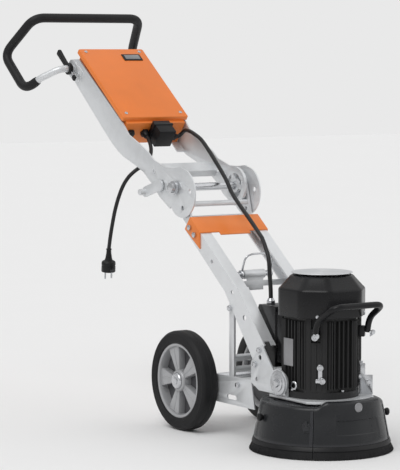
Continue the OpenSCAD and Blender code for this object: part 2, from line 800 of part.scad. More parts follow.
module front_cover() {
    color(plastic_grey) at_head() {
        difference() {
            intersection() {
                shroud_shell(0);
                front_wedge(open_angle - 0.3, 0, 200);
            }
            cylinder(h = 200, r = 118);
        }
        intersection() {
            rotate_extrude($fn = 128) polygon([[128, shroud_top - 2], [139, shroud_top - 2],
                [142, shroud_top + cover_rise], [130, shroud_top + cover_rise]]);
            front_wedge(open_angle - 16, 0, 200);
        }
        translate([0, -148, 92]) rotate([80, 0, 0]) linear_extrude(5) eight_sided(13, 8);
    }
}
module front_brush() {
    color(rubber_black) at_head() intersection() {
        rotate_extrude($fn = 128) polygon(skirt_pts);
        front_wedge(open_angle - 0.3, -10, 60);
    }
}
module knob(angle) {
    at_head() rotate([0, 90, angle]) translate([-85, 0, 0]) {
        translate([0, 0, 146]) cylinder(h = 10, r = 4);
        translate([0, 0, 153.4]) cylinder(h = 5, r1 = 6, r2 = 9);
        translate([0, 0, 158.4]) cylinder(h = 5, r = 9);
        translate([0, 0, 163.4]) cylinder(h = 3, r1 = 9, r2 = 5);
    }
}
module knob_right() {
    color(black) knob(-24);
}
module knob_left() {
    color(black) knob(169);
}

// ---------- cables ----------
// Motor cable, from the connector over the fold hinge down to the motor
upper_route = [[56.4, 216.4, 721.8], [63, 216.4, 722.4], [69, 212, 728], [71, 200, 736], [68, 178, 738],
    [62, 135, 729], [55, 78, 706], [44, 20, 675]];
middle_route = [[43, 17, 673], [32, -50, 628], [20, -102, 590], [10, -152, 562], [0, -212, 530],
    [-8, -252, 509], [-18, -292, 490]];
lower_route = [[-19, -295, 488], [-26, -318, 470], [-30, -338, 443], [-33, -348, 400], [-34, -353, 370],
    [-34, -354, 348]];
cable_sides = 10;
module cable_piece(route, g) {
    swept(smooth(route, 4), cable_d, cable_sides, g);
}
module cable_upper() {
    color(black) cable_piece(upper_route, [0, 0, 1]);
}
module cable_middle() {
    color(black) cable_piece(middle_route, [1, 0, 0]);
}
module cable_lower() {
    color(black) cable_piece(lower_route, [1, 0, 0]);
}
// Supply cord, from the box gland under the near arm down to its plug
cord_route = [[-27, 229.9, 722.1], [-27.4, 222, 716], [-31, 207, 703], [-37, 193, 688], [-49, 179, 672],
    [-66, 168, 659], [-84, 164, 648], [-102, 166, 637], [-117, 174, 621], [-128, 184, 598], [-135, 195, 568],
    [-140, 205, 534], [-143, 213, 500], [-146, 219, 466], [-148, 224, 432]];
module supply_cord() {
    color(black) swept(smooth(cord_route, 3), cord_d, cable_sides, [1, 0.2, 0]);
}
module plug() {
    color(black) translate([-148, 224, 432]) rotate([180 + 8, -3, 0]) {
        cylinder(h = 32, d1 = 12, d2 = 19);
        translate([0, 0, 32]) cylinder(h = 6, d1 = 30, d2 = 37);
        translate([0, 0, 38]) cylinder(h = 24, d = 37);
        for (x = [-9.5, 9.5]) {
            translate([x, 0, 62]) cylinder(h = 19, d = 4.8);
        }
    }
}

lower_legs();
side_plates();
cross_members();
leg_cover();
lower_hinge_plates();
hinge_shaft();
axle();
pin_bracket();
chassis_bolts();
tyre_left();
rim_left();
tyre_right();
rim_right();
upper_arms();
hinge_disc();
control_box();
box_lid();
lid_screws();
display();
motor_connector();
box_glands();
circuit_board();
contactor();
button_collars();
stop_mushroom();
start_button();
off_button();
lock_lever();
handle_tube();
handle_grip();
clamp_lever();
lock_pin();
pin_bail();
head_plate();
pivot_pins();
motor_frame();
fan_cover();
terminal_box();
motor_gland();
lifting_handle();
head_bolts();
stator();
motor_bearings();
rotor_shaft();
cooling_fan();
grinding_disc();
diamond_segments();
shroud();
brush_skirt();
front_cover();
front_brush();
knob_right();
knob_left();
cable_upper();
cable_middle();
cable_lower();
supply_cord();
plug();
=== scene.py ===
import bpy, bmesh, json, random
from math import sin, cos, pi, radians
from mathutils import Vector, Matrix
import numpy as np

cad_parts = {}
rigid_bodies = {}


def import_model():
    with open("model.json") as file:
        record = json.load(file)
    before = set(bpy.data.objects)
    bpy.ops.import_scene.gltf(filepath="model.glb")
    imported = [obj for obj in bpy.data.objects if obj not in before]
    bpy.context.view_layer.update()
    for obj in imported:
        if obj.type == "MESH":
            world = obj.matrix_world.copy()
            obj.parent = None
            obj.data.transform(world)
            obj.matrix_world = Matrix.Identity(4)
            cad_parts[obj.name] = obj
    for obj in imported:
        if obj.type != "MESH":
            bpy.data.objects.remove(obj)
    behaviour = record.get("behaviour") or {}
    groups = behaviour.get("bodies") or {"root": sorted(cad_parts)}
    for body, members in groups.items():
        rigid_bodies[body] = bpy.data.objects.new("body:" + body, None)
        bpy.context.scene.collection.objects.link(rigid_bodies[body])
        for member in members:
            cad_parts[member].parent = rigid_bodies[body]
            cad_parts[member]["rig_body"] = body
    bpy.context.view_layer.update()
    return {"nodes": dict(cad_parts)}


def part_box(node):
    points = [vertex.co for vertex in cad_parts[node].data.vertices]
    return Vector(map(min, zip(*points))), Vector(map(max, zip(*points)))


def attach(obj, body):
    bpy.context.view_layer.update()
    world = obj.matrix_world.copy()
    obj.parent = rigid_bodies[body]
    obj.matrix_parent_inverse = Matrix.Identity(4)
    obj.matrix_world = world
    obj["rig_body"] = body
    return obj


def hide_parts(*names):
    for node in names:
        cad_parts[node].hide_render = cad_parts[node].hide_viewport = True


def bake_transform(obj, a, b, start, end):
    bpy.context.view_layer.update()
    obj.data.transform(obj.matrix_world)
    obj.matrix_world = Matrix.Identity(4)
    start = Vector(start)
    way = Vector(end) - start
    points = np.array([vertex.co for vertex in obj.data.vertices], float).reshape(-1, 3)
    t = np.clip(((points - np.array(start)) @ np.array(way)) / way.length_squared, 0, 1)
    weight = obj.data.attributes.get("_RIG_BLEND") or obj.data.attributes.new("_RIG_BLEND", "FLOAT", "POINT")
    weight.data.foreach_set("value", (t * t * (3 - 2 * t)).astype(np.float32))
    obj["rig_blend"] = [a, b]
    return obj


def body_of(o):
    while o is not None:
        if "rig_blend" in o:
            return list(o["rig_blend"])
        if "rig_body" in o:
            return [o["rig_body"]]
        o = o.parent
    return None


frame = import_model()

scene = bpy.context.scene
MM = 0.001

# ---------- where things are ----------
SLOPE = radians(37.4)                           # the frame's slope above the floor
shaft_low, shaft_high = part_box("rotor_shaft")
HEAD_Y = (shaft_low[1] + shaft_high[1]) / 2     # the head's upright axis, in metres


def at(x, y, z):
    """A point given in mm: across, behind the head's axis, above the floor."""
    return Vector((x * MM, y * MM + HEAD_Y, z * MM))


def slope(x, s, n):
    """A point given in mm: across, up the frame's slope, square to the slope."""
    return at(x, s * cos(SLOPE) - n * sin(SLOPE), s * sin(SLOPE) + n * cos(SLOPE))


HEAD_M = Matrix.Translation(Vector((0, HEAD_Y, 0)))
SLOPE_M = HEAD_M @ Matrix.Rotation(SLOPE, 4, "X")

# ---------- camera ----------
LENS, SENSOR_WIDTH = 172.27, 36
CAM_AZ, CAM_DOWN = radians(33), radians(4.63)
CAM_PLACE = at(-3139, -4302, 942)
cam_data = bpy.data.cameras.new("camera")
cam_data.lens = LENS
cam_data.sensor_width = SENSOR_WIDTH
cam = bpy.data.objects.new("camera", cam_data)
scene.collection.objects.link(cam)
cam.location = CAM_PLACE
look = Vector((sin(CAM_AZ) * cos(CAM_DOWN), cos(CAM_AZ) * cos(CAM_DOWN), -sin(CAM_DOWN)))
cam.rotation_euler = look.to_track_quat("-Z", "Y").to_euler()
scene.camera = cam


# ---------- materials ----------
COAT_ROUGH = 0.25
BUMP_DEPTH = 0.0004             # metres
SPANGLE_SHARE = 0.22            # how far a zinc crystal shifts the colour pattern
RAMP_DARK, RAMP_LIGHT = 0.3, 0.75
EDGE_FROM, EDGE_TO = 0.53, 0.60  # the pointiness where wear begins and where it is full
LEAST_ROUGH = 0.02


def node_material(name, colour, rough, metal=0.0, grain=400.0, bump=0.15, vary=0.12, rough_vary=0.1,
                  patch=18.0, coat=0.0, wear=0.0, wear_colour=(0.6, 0.6, 0.6), spec=0.5, spangle=0.0):
    """A shader with a fine grain in its bump, broad patches in colour and gloss, and worn edges.

    grain, patch and spangle are scales of the patterns: fine noise, broad noise and zinc crystals.
    """
    m = bpy.data.materials.new(name)
    m.use_nodes = True
    nt = m.node_tree
    n, l = nt.nodes, nt.links
    for x in list(n):
        n.remove(x)
    out = n.new("ShaderNodeOutputMaterial")
    p = n.new("ShaderNodeBsdfPrincipled")
    l.new(p.outputs[0], out.inputs[0])
    p.inputs["Metallic"].default_value = metal
    p.inputs["Specular IOR Level"].default_value = spec
    p.inputs["Coat Weight"].default_value = coat
    p.inputs["Coat Roughness"].default_value = COAT_ROUGH
    tc = n.new("ShaderNodeTexCoord")
    fine = n.new("ShaderNodeTexNoise")
    fine.inputs["Scale"].default_value = grain
    fine.inputs["Detail"].default_value = 4
    l.new(tc.outputs["Object"], fine.inputs["Vector"])
    broad = n.new("ShaderNodeTexNoise")
    broad.inputs["Scale"].default_value = patch
    broad.inputs["Detail"].default_value = 5
    broad.inputs["Roughness"].default_value = 0.6
    l.new(tc.outputs["Object"], broad.inputs["Vector"])
    pattern = broad.outputs["Fac"]
    if spangle:
        cells = n.new("ShaderNodeTexVoronoi")
        cells.inputs["Scale"].default_value = spangle
        l.new(tc.outputs["Object"], cells.inputs["Vector"])
        grey = n.new("ShaderNodeSeparateColor")
        l.new(cells.outputs["Color"], grey.inputs[0])
        blend = n.new("ShaderNodeMath")
        blend.operation = "ADD"
        share = n.new("ShaderNodeMath")
        share.operation = "MULTIPLY"
        share.inputs[1].default_value = SPANGLE_SHARE
        l.new(grey.outputs[0], share.inputs[0])
        l.new(broad.outputs["Fac"], blend.inputs[0])
        l.new(share.outputs[0], blend.inputs[1])
        pattern = blend.outputs[0]
    ramp = n.new("ShaderNodeValToRGB")
    dark = [c * (1 - vary) for c in colour]
    lite = [min(1.0, c * (1 + vary)) for c in colour]
    ramp.color_ramp.elements[0].position = RAMP_DARK
    ramp.color_ramp.elements[0].color = dark + [1]
    ramp.color_ramp.elements[1].position = RAMP_LIGHT
    ramp.color_ramp.elements[1].color = lite + [1]
    l.new(pattern, ramp.inputs[0])
    colour_out = ramp.outputs[0]
    if wear:
        geo = n.new("ShaderNodeNewGeometry")
        edge = n.new("ShaderNodeMapRange")
        edge.inputs["From Min"].default_value = EDGE_FROM
        edge.inputs["From Max"].default_value = EDGE_TO
        edge.inputs["To Max"].default_value = wear
        l.new(geo.outputs["Pointiness"], edge.inputs["Value"])
        mix = n.new("ShaderNodeMix")
        mix.data_type = "RGBA"
        mix.inputs["B"].default_value = (*wear_colour, 1)
        l.new(edge.outputs[0], mix.inputs["Factor"])
        l.new(colour_out, mix.inputs["A"])
        colour_out = mix.outputs["Result"]
    l.new(colour_out, p.inputs["Base Color"])
    rr = n.new("ShaderNodeMapRange")
    rr.inputs["To Min"].default_value = max(LEAST_ROUGH, rough - rough_vary)
    rr.inputs["To Max"].default_value = min(1.0, rough + rough_vary)
    l.new(broad.outputs["Fac"], rr.inputs["Value"])
    l.new(rr.outputs[0], p.inputs["Roughness"])
    b = n.new("ShaderNodeBump")
    b.inputs["Strength"].default_value = bump
    b.inputs["Distance"].default_value = BUMP_DEPTH
    l.new(fine.outputs["Fac"], b.inputs["Height"])
    l.new(b.outputs[0], p.inputs["Normal"])
    return m


# after the colour: roughness, metal, grain, bump, colour change, roughness change, patch
ZINC = node_material("galvanised_sheet", (0.70, 0.715, 0.73), 0.40, 0.55, 300, 0.08, 0.045, 0.06, 14,
                     spangle=70, wear=0.3, wear_colour=(0.9, 0.91, 0.92))
STEEL = node_material("turned_steel", (0.60, 0.61, 0.63), 0.24, 1.0, 500, 0.10, 0.08, 0.07, 60)
ORANGE = node_material("orange_powder_coat", (0.80, 0.195, 0.022), 0.40, 0.0, 900, 0.10, 0.05, 0.05, 9,
                       coat=0.2, wear=0.25, wear_colour=(0.95, 0.40, 0.15), spec=0.4)
BLACK = node_material("black_powder_coat", (0.006, 0.006, 0.007), 0.27, 0.0, 900, 0.12, 0.2, 0.05, 14,
                      wear=0.35, wear_colour=(0.05, 0.05, 0.05), spec=0.28)
CAST = node_material("black_cast_aluminium", (0.006, 0.006, 0.007), 0.36, 0.0, 260, 0.4, 0.25, 0.08, 30,
                     wear=0.5, wear_colour=(0.05, 0.05, 0.05), spec=0.18)
PLASTIC = node_material("black_moulded_plastic", (0.010, 0.010, 0.011), 0.42, 0.0, 1200, 0.3, 0.2, 0.08, 25,
                        spec=0.28)
SHELL = node_material("dark_grey_moulded_shell", (0.019, 0.020, 0.022), 0.27, 0.0, 900, 0.2, 0.10, 0.05, 10,
                      wear=0.3, wear_colour=(0.08, 0.08, 0.09), spec=0.32)
TYRE = node_material("tyre_rubber", (0.012, 0.012, 0.013), 0.52, 0.0, 500, 0.4, 0.25, 0.10, 16, spec=0.25)
RIM = node_material("moulded_grey_rim", (0.40, 0.405, 0.415), 0.36, 0.25, 600, 0.2, 0.08, 0.08, 12)
# The next material is a dark grey that paints the shade in the wheel's spoke pockets; the real rim is one
# grey moulding throughout.
RIM_POCKET_PAINTED_SHADE = node_material("rim_pocket_painted_shade", (0.07, 0.07, 0.075), 0.45, 0.0, 600, 0.25, 0.15, 0.08, 12,
                         spec=0.4)
FOAM = node_material("soft_grip_foam", (0.010, 0.010, 0.011), 0.5, 0.0, 1500, 0.5, 0.25, 0.1, 30, spec=0.3)
CORD = node_material("cable_sheath", (0.010, 0.010, 0.011), 0.42, 0.0, 1500, 0.25, 0.2, 0.08, 40, spec=0.4)
BRISTLE = node_material("nylon_bristles", (0.010, 0.010, 0.011), 0.6, 0.0, 1500, 0.3, 0.3, 0.1, 80,
                        spec=0.25)
RED = node_material("red_button_plastic", (0.62, 0.01, 0.01), 0.3, 0.0, 900, 0.1, 0.08, 0.05, 30, coat=0.3)
GREEN = node_material("green_button_plastic", (0.01, 0.33, 0.07), 0.32, 0.0, 900, 0.1, 0.08, 0.05, 30,
                      coat=0.3)
LCD = node_material("display_window", (0.16, 0.17, 0.18), 0.12, 0.0, 900, 0.02, 0.1, 0.04, 60, coat=1.0)
LABEL = node_material("blank_metal_plate", (0.30, 0.30, 0.31), 0.38, 0.6, 800, 0.1, 0.06, 0.06, 50)
BOARD = node_material("circuit_board_lacquer", (0.02, 0.16, 0.06), 0.3, 0.0, 900, 0.2, 0.2, 0.1, 120)
LIGHT = node_material("light_grey_moulding", (0.55, 0.55, 0.53), 0.5, 0.0, 900, 0.2, 0.08, 0.08, 30)
COPPER = node_material("lacquered_windings", (0.50, 0.22, 0.09), 0.35, 0.9, 900, 0.3, 0.2, 0.1, 150)
GRIT = node_material("sintered_diamond", (0.20, 0.20, 0.19), 0.75, 0.5, 1800, 1.0, 0.3, 0.1, 300)
FLOOR = node_material("studio_floor", (0.865, 0.865, 0.865), 0.85, 0.0, 40, 0.01, 0.004, 0.03, 2, spec=0.1)


# ---------- mesh helpers ----------
WELD = 1e-6                     # points closer than this, in metres, are one
SHARP = radians(25)             # a prism's edges over this are rounded


def shade(ob, angle):
    """Smooth shading, with a crease where two faces meet at more than angle degrees."""
    for p in ob.data.polygons:
        p.use_smooth = True
    bm = bmesh.new()
    bm.from_mesh(ob.data)
    limit = radians(angle)
    for e in bm.edges:
        e.smooth = not (len(e.link_faces) == 2 and e.calc_face_angle(0) > limit)
    bm.to_mesh(ob.data)
    bm.free()


def bevel(ob, width, segments, angle):
    """A bevel of width mm on each edge sharper than angle degrees."""
    b = ob.modifiers.new("edge", "BEVEL")
    b.width = width * MM
    b.segments = segments
    b.limit_method = "ANGLE"
    b.angle_limit = radians(angle)
    b.harden_normals = False
    b.use_clamp_overlap = True


class Build:
    """Collects the parts of one piece; every size is in mm, in the frame M."""

    def __init__(self, M=HEAD_M):
        self.bm = bmesh.new()
        self.M = M

    def add(self, verts, faces, M=None):
        """Adds faces given by indexes into verts; a face that is there already is left out."""
        M = self.M if M is None else self.M @ M
        vs = [self.bm.verts.new(M @ (Vector(v) * MM)) for v in verts]
        for f in faces:
            try:
                self.bm.faces.new([vs[i] for i in f])
            except ValueError:
                pass

    def block(self, x0, x1, y0, y1, z0, z1, r=0.0, M=None, segs=3):
        """A box whose edges are rounded by r."""
        tmp = bmesh.new()
        bmesh.ops.create_cube(tmp, size=1.0)
        for v in tmp.verts:
            v.co = Vector(((x0 + x1) / 2 + v.co.x * (x1 - x0), (y0 + y1) / 2 + v.co.y * (y1 - y0),
                           (z0 + z1) / 2 + v.co.z * (z1 - z0)))
        if r:
            bmesh.ops.bevel(tmp, geom=tmp.edges[:], offset=r, segments=segs, profile=0.5, affect="EDGES")
        tmp.verts.index_update()
        self.add([v.co for v in tmp.verts], [[v.index for v in f.verts] for f in tmp.faces], M)
        tmp.free()

    def prism(self, outline, z0, z1, M=None, r=0.0, segs=2):
        """An outline in x, y drawn up from z0 to z1, its sharp edges rounded by r."""
        tmp = bmesh.new()
        base = [tmp.verts.new((p[0], p[1], z0)) for p in outline]
        face = tmp.faces.new(base)
        up = bmesh.ops.extrude_face_region(tmp, geom=[face])
        bmesh.ops.translate(tmp, verts=[g for g in up["geom"] if isinstance(g, bmesh.types.BMVert)],
                            vec=(0, 0, z1 - z0))
        if r:
            tmp.normal_update()
            edges = [e for e in tmp.edges
                     if len(e.link_faces) == 2 and e.calc_face_angle(0) > SHARP]
            bmesh.ops.bevel(tmp, geom=edges, offset=r, segments=segs, profile=0.5, affect="EDGES")
        tmp.verts.index_update()
        self.add([v.co for v in tmp.verts], [[v.index for v in f.verts] for f in tmp.faces], M)
        tmp.free()

    def lathe(self, profile, segs=64, M=None, a0=0.0, a1=360.0, closed=True):
        """A profile of (radius, height) turned about z from a0 to a1 degrees, closed as a ring or open."""
        full = abs(a1 - a0) >= 360
        steps = segs if full else segs + 1
        verts, faces = [], []
        k = len(profile)
        for i in range(steps):
            a = radians(a0 + (a1 - a0) * i / segs)
            verts += [(r * cos(a), r * sin(a), z) for r, z in profile]
        rows = steps if full else steps - 1
        span = k if closed else k - 1
        for i in range(rows):
            j = (i + 1) % steps
            for q in range(span):
                w = (q + 1) % k
                faces.append([i * k + q, j * k + q, j * k + w, i * k + w])
        if not full and closed:
            faces.append(list(range(k)))
            faces.append([(steps - 1) * k + q for q in range(k)][::-1])
        self.add(verts, faces, M)

    def spin(self, profile, segs=64, M=None):
        """As lathe with an open profile, whose first and last rings are closed by flat caps."""
        self.lathe(profile, segs, M, closed=False)
        for r, z in (profile[0], profile[-1]):
            ring = [(r * cos(2 * pi * i / segs), r * sin(2 * pi * i / segs), z) for i in range(segs)]
            self.add(ring, [list(range(segs))], M)

    def tube(self, pts, r, sides=20, M=None, radius=None):
        """A round bar along the points; radius may give its radius as a function of 0..1."""
        pts = [Vector(p) for p in pts]
        n = len(pts)
        verts, faces = [], []
        across = None
        for i, p in enumerate(pts):
            t = (pts[min(i + 1, n - 1)] - pts[max(i - 1, 0)]).normalized()
            if across is None:
                across = Vector((0, 0, 1)) if abs(t.z) < 0.9 else Vector((1, 0, 0))
            across = (across - t * across.dot(t)).normalized()
            other = t.cross(across)
            rr = r if radius is None else radius(i / (n - 1))
            verts += [p + (across * cos(2 * pi * q / sides) + other * sin(2 * pi * q / sides)) * rr
                      for q in range(sides)]
        for i in range(n - 1):
            for q in range(sides):
                w = (q + 1) % sides
                faces.append([i * sides + q, i * sides + w, (i + 1) * sides + w, (i + 1) * sides + q])
        faces.append(list(range(sides))[::-1])
        faces.append([(n - 1) * sides + q for q in range(sides)])
        self.add(verts, faces, M)

    def finish(self, name, material, body, nodes=(), smooth=35, merge=True):
        """Makes the piece: welded, with its faces outward, shaded, riding, and standing for its nodes."""
        if merge:
            bmesh.ops.remove_doubles(self.bm, verts=self.bm.verts, dist=WELD)
        bmesh.ops.recalc_face_normals(self.bm, faces=self.bm.faces)
        me = bpy.data.meshes.new(name)
        self.bm.to_mesh(me)
        self.bm.free()
        ob = bpy.data.objects.new(name, me)
        scene.collection.objects.link(ob)
        me.materials.append(material)
        shade(ob, smooth)
        if body:
            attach(ob, body)
        if nodes:
            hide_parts(*nodes)
        return ob


def turn(axis, degrees):
    return Matrix.Rotation(radians(degrees), 4, axis)


def move(x, y, z):
    return Matrix.Translation(Vector((x, y, z)) * MM)


def arc(cx, cy, r, a0, a1, n):
    angles = [radians(a0 + (a1 - a0) * i / n) for i in range(n + 1)]
    return [(cx + r * cos(a), cy + r * sin(a)) for a in angles]


def smooth_path(pts, n):
    """A Catmull-Rom curve through the points, n steps a span."""
    pts = [Vector(p) for p in pts]
    out = []
    for i in range(len(pts) - 1):
        a, b = pts[max(i - 1, 0)], pts[i]
        c, d = pts[i + 1], pts[min(i + 2, len(pts) - 1)]
        for k in range(n):
            t = k / n
            out.append(0.5 * (2 * b + (c - a) * t + (2 * a - 5 * b + 4 * c - d) * t * t
                              + (3 * b - a - 3 * c + d) * t ** 3))
    out.append(pts[-1])
    return out


def rounded(pts, radii, n):
    """Straight runs with each inner corner rounded; radii gives the tangent length at each corner."""
    pts = [Vector(p) for p in pts]
    out = [pts[0]]
    for i in range(1, len(pts) - 1):
        u = (pts[i - 1] - pts[i]).normalized()
        v = (pts[i + 1] - pts[i]).normalized()
        r = radii[i - 1]
        out += [pts[i] + u * (r * (1 - k / n) ** 2) + v * (r * (k / n) ** 2) for k in range(n + 1)]
    out.append(pts[-1])
    return out


# ---------- cord and plug ----------
CORD_ROUTE = [(-27, 229.9, 722.1), (-27.4, 222, 716), (-31, 207, 703), (-37, 193, 688), (-49, 179, 672),
              (-66, 168, 659), (-84, 164, 648), (-102, 166, 637), (-117, 174, 621), (-128, 184, 598),
              (-135, 195, 568), (-140, 205, 534), (-143, 213, 500), (-146, 219, 466), (-148, 224, 432)]
CORD_D = 10
WORLD = Matrix.Identity(4)      # the routes are given in the CAD's own frame, in mm


def length_of(points):
    return sum((b - a).length for a, b in zip(points, points[1:]))


cord_path = smooth_path(CORD_ROUTE, 6)
b = Build(WORLD)
b.tube(cord_path, CORD_D / 2, 20)
cord = b.finish("supply_lead", CORD, "upper_frame", ["supply_cord"], 60)

PLUG_M = move(-148, 224, 432) @ turn("Y", -3) @ turn("X", 188)
b = Build(PLUG_M)
b.spin([(6.0, 0), (7.2, 0.4), (7.2, 3.6), (5.6, 4.2), (5.8, 6), (6.6, 6.4), (6.6, 8), (6.0, 8.4),
        (6.2, 10.2), (7.0, 10.6), (7.0, 12.2), (6.4, 12.6), (6.8, 14.4), (7.5, 14.8), (7.5, 16.4),
        (7.0, 16.8), (7.4, 18.6), (8.2, 19), (8.4, 21), (8.0, 21.6), (9.0, 26), (10.5, 30.5),
        (14.2, 32.4), (17.4, 34.6), (18.5, 38.5),
        (18.5, 43), (17.6, 43.6), (17.6, 46.2), (18.5, 46.8), (18.5, 60), (17.8, 61.6), (16.4, 62)], 48)
GRIP_RIBS = 12
for k in range(GRIP_RIBS):
    b.block(16.8, 18.4, -1.6, 1.6, 48, 59, 0.5, turn("Z", 360 / GRIP_RIBS * k), 2)
plug = b.finish("lead_plug", PLASTIC, None, (), 40)
b = Build(PLUG_M)
for x in (-9.5, 9.5):
    b.spin([(2.4, 61.5), (2.4, 79.2), (1.9, 80.4), (0.8, 81)], 20, move(x, 0, 0))
b.block(-3.2, 3.2, 15.9, 18.3, 52, 61.8, 0.4)
b.block(-3.2, 3.2, -18.3, -15.9, 52, 61.8, 0.4)
pins = b.finish("plug_contacts", STEEL, None, (), 40)
for piece in (plug, pins):
    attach(piece, "upper_frame")
    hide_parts("plug")

# ---------- motor cable: two runs, each bending across one joint ----------
CABLE_D = 10.5
UPPER_RUN = [(56.4, 216.4, 721.8), (63, 216.4, 722.4), (69, 212, 728), (71, 200, 736), (68, 178, 738),
             (62, 135, 729), (55, 78, 706), (32, -50, 628), (20, -102, 590), (10, -152, 562),
             (0, -212, 530), (-8, -252, 509), (-18, -292, 490)]
LOWER_RUN = [(-18, -292, 490), (-26, -318, 470), (-30, -338, 443), (-33, -348, 400), (-34, -353, 370),
             (-34, -354, 348)]


def cable(name, points, nodes, body_a, body_b, start, end):
    """A run that follows body_a before start and body_b after end, and bends between them."""
    b = Build(WORLD)
    b.tube(smooth_path(points, 8), CABLE_D / 2, 20)
    ob = b.finish(name, CORD, None, nodes, 60)
    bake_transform(ob, body_a, body_b, start=tuple(Vector(start) * MM), end=tuple(Vector(end) * MM))


cable("cable_run_upper", UPPER_RUN, ["cable_upper", "cable_middle"], "upper_frame", "chassis",
      (58, 110, 720), (30, -60, 620))
cable("cable_run_lower", LOWER_RUN, ["cable_lower"], "chassis", "head", (-20, -300, 485), (-34, -352, 372))


# ---------- refined copies of the folded-sheet and machined nodes ----------
NODE_WELD = 2e-6                # metres
FLAT = radians(1.0)             # faces within this of each other are joined
BEVEL_OVER, CREASE_OVER = 32, 33


def refined(node, material, width):
    """The node's own shape with its flat faces joined, and its edges rounded by width in mm."""
    src = frame["nodes"][node]
    bm = bmesh.new()
    bm.from_mesh(src.data)
    bmesh.ops.transform(bm, matrix=src.matrix_world, verts=bm.verts)
    bmesh.ops.remove_doubles(bm, verts=bm.verts, dist=NODE_WELD)
    bmesh.ops.dissolve_limit(bm, angle_limit=FLAT, verts=bm.verts, edges=bm.edges)
    me = bpy.data.meshes.new(node + "_fine")
    bm.to_mesh(me)
    bm.free()
    ob = bpy.data.objects.new(node + "_fine", me)
    scene.collection.objects.link(ob)
    me.materials.append(material)
    bevel(ob, width, 2, BEVEL_OVER)
    dg = bpy.context.evaluated_depsgraph_get()
    done = bpy.data.meshes.new_from_object(ob.evaluated_get(dg))
    ob.modifiers.clear()
    ob.data = done
    shade(ob, CREASE_OVER)
    body = body_of(src)
    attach(ob, body if isinstance(body, str) else body[0])
    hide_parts(node)


REFINE = {
    "lower_legs": (ZINC, 1.2), "side_plates": (ZINC, 0.9), "cross_members": (ZINC, 0.8),
    "leg_cover": (ORANGE, 0.7), "lower_hinge_plates": (ZINC, 0.8), "upper_arms": (ZINC, 1.2),
    "hinge_shaft": (STEEL, 0.8), "axle": (STEEL, 0.7), "pin_bracket": (ZINC, 0.8),
    "chassis_bolts": (STEEL, 0.7),
    "hinge_disc": (ZINC, 0.9), "control_box": (ORANGE, 2.0), "motor_connector": (PLASTIC, 1.2),
    "box_glands": (PLASTIC, 0.6), "circuit_board": (BOARD, 0.2), "contactor": (LIGHT, 0.5),
    "button_collars": (PLASTIC, 0.5), "stop_mushroom": (RED, 0.8), "start_button": (GREEN, 0.8),
    "off_button": (RED, 0.8), "lock_lever": (ZINC, 0.9), "lock_pin": (STEEL, 0.8), "head_plate": (ZINC, 0.8),
    "pivot_pins": (STEEL, 0.9), "motor_frame": (CAST, 0.5), "terminal_box": (BLACK, 2.5),
    "motor_gland": (STEEL, 0.6), "head_bolts": (STEEL, 0.5), "grinding_disc": (STEEL, 0.5),
    "diamond_segments": (GRIT, 0.6), "knob_right": (PLASTIC, 0.5), "knob_left": (PLASTIC, 0.5),
    "stator": (COPPER, 0.6), "rotor_shaft": (STEEL, 0.6), "cooling_fan": (PLASTIC, 0.3),
    "motor_bearings": (STEEL, 0.5),
}
for node, (material, width) in REFINE.items():
    refined(node, material, width)

# ---------- wheels: the profiles run outward from the wheel's inner face ----------
WHEEL_X, WHEEL_Y, WHEEL_R = 106, 406, 125
RIM_R, RIM_IN, SPOKES = 93, 85, 5
for side, word in ((-1, "left"), (1, "right")):
    M = Matrix.Diagonal((side, 1, 1, 1)) @ move(WHEEL_X, WHEEL_Y, WHEEL_R) @ turn("Y", 90)
    prof = [(RIM_R, 3), (95, 1.4), (99, 0.6), (112, 0.0), (118, 0.8), (122, 3), (124.3, 6.5), (125, 10),
            (125, 22), (124.5, 22.6), (124.5, 23.4), (125, 24), (125, 36), (124.3, 39.5), (122, 43),
            (119.2, 44.7)]
    for r in (117, 113.4, 109.8, 106.2, 102.6, 99):
        prof += [(r + 1.3, 45.8), (r, 46.0), (r - 0.7, 45.9), (r - 1.1, 45.2), (r - 1.5, 45.2)]
    prof += [(96.6, 45.6), (95, 44.6), (RIM_R, 43)]
    b = Build(HEAD_M)
    b.lathe(prof, 160, M)
    t = b.finish("tyre_" + word + "_moulded", TYRE, "wheel_" + word, ["tyre_" + word], 30)
    b = Build(HEAD_M)
    b.lathe([(RIM_R, 3), (RIM_R, 43), (91.5, 43.8), (88.4, 43.6), (86.6, 42.2), (85.6, 39.5), (RIM_IN, 30),
             (RIM_IN - 1, 21), (RIM_IN - 1, 13), (RIM_IN, 7), (87, 3.6), (90, 2.6)], 128, M)
    b.lathe([(28, 3), (28, 15), (28, 36), (27.4, 39.5), (25.4, 42.2), (23, 43), (10.3, 43), (10.3, 3)], 64, M)
    for k in range(SPOKES):
        A = M @ turn("Z", 360 / SPOKES * k + 90)
        b.prism([(24, -8), (86, -24), (86, 24), (24, 8)], 18, 38, A, 2.2, 3)
        b.prism([(30, -2.0), (83, -2.4), (83, 2.4), (30, 2.0)], 37, 39, A, 0.7, 2)
    rim = b.finish("rim_" + word + "_moulded", RIM, "wheel_" + word, ["rim_" + word], 30)
    # the web between the spokes is coloured dark grey as painted shade for the spoke pockets, not as a darker
    # part of the rim
    b = Build(HEAD_M)
    b.lathe([(RIM_IN + 0.5, 14), (RIM_IN + 0.5, 20), (60, 18.6), (27, 20), (27, 14)], 96, M)
    web = b.finish("rim_" + word + "_web_painted_shade", RIM_POCKET_PAINTED_SHADE, "wheel_" + word, ["rim_" + word], 30)


# ---------- motor: fan cover, lifting handle, plate ----------
def eight(w, half, r, n=5):
    """Points of an eight-sided outline, w from its middle to a side, with its corners rounded."""
    base = [(w, -half), (w, half), (half, w), (-half, w), (-w, half), (-w, -half), (-half, -w), (half, -w)]
    out = []
    for i in range(8):
        p, c, q = Vector(base[i - 1]), Vector(base[i]), Vector(base[(i + 1) % 8])
        u, v = (p - c).normalized(), (q - c).normalized()
        out += [c + u * (r * (1 - k / n) ** 2) + v * (r * (k / n) ** 2) for k in range(n + 1)]
    return out


